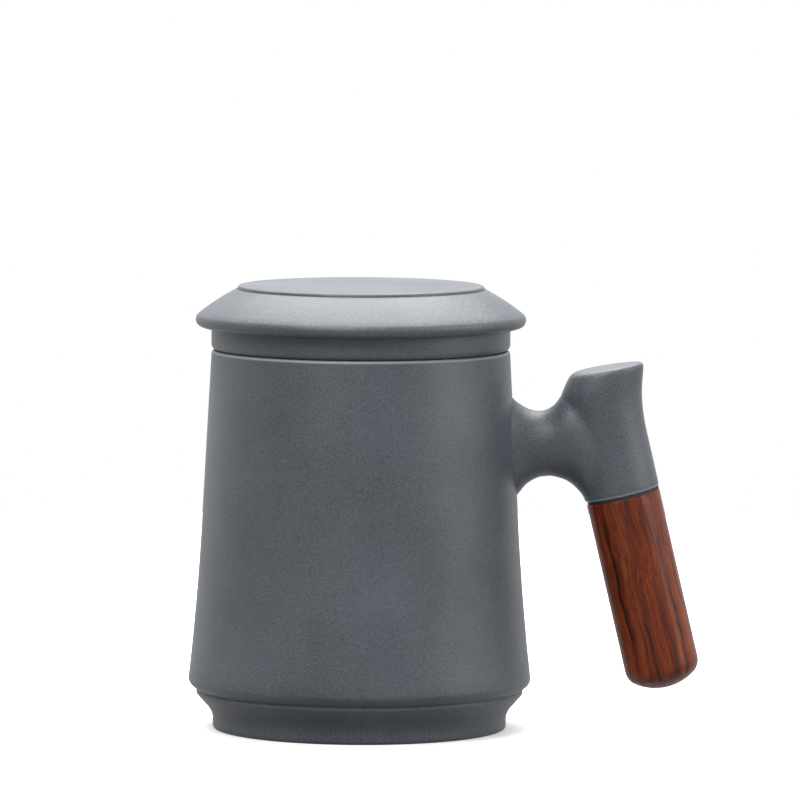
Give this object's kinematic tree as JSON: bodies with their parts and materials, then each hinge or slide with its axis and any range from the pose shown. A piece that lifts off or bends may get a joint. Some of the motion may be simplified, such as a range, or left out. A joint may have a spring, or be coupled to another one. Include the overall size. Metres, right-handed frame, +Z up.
{
  "type": "lidded tea mug with infuser",
  "caption": "Glazed mug with a lift-off lid, a lift-out strainer basket and a post handle of wood on a ceramic horn.",
  "frame": {"origin": "centre of the foot ring in the plane it stands on, on the axis of the mug", "axes": "+Z up along the axis of the mug, +X from the axis towards the handle, +Y completes a right-handed frame"},
  "size_m": [0.1372, 0.092, 0.1192],
  "materials": {
    "mug_glaze": "fine sandy satin-matt slate glaze",
    "infuser_glaze": "fine sandy satin-matt slate glaze",
    "lid_glaze": "fine sandy satin-matt slate glaze",
    "grip_wood": "turned red-brown hardwood, oiled",
    "washer_rubber": "black moulded rubber",
    "stud_steel": "turned stainless steel",
    "sleeve_brass": "turned brass"
  },
  "bodies": {
    "mug": {"mug_body": "mug_glaze", "grip": "grip_wood", "grip_washer": "washer_rubber", "grip_stud": "stud_steel", "boss_anchor": "sleeve_brass", "grip_insert": "sleeve_brass"},
    "infuser": {"infuser": "infuser_glaze"},
    "lid": {"lid": "lid_glaze"}
  },
  "joints": [
    {"name": "infuser_lift", "type": "slide", "parent": "mug", "child": "infuser", "axis": [0, 0, 1], "range_m": [0, 0.09]},
    {"name": "lid_lift", "type": "slide", "parent": "infuser", "child": "lid", "axis": [0, 0, 1], "range_m": [0, 0.04]}
  ]
}
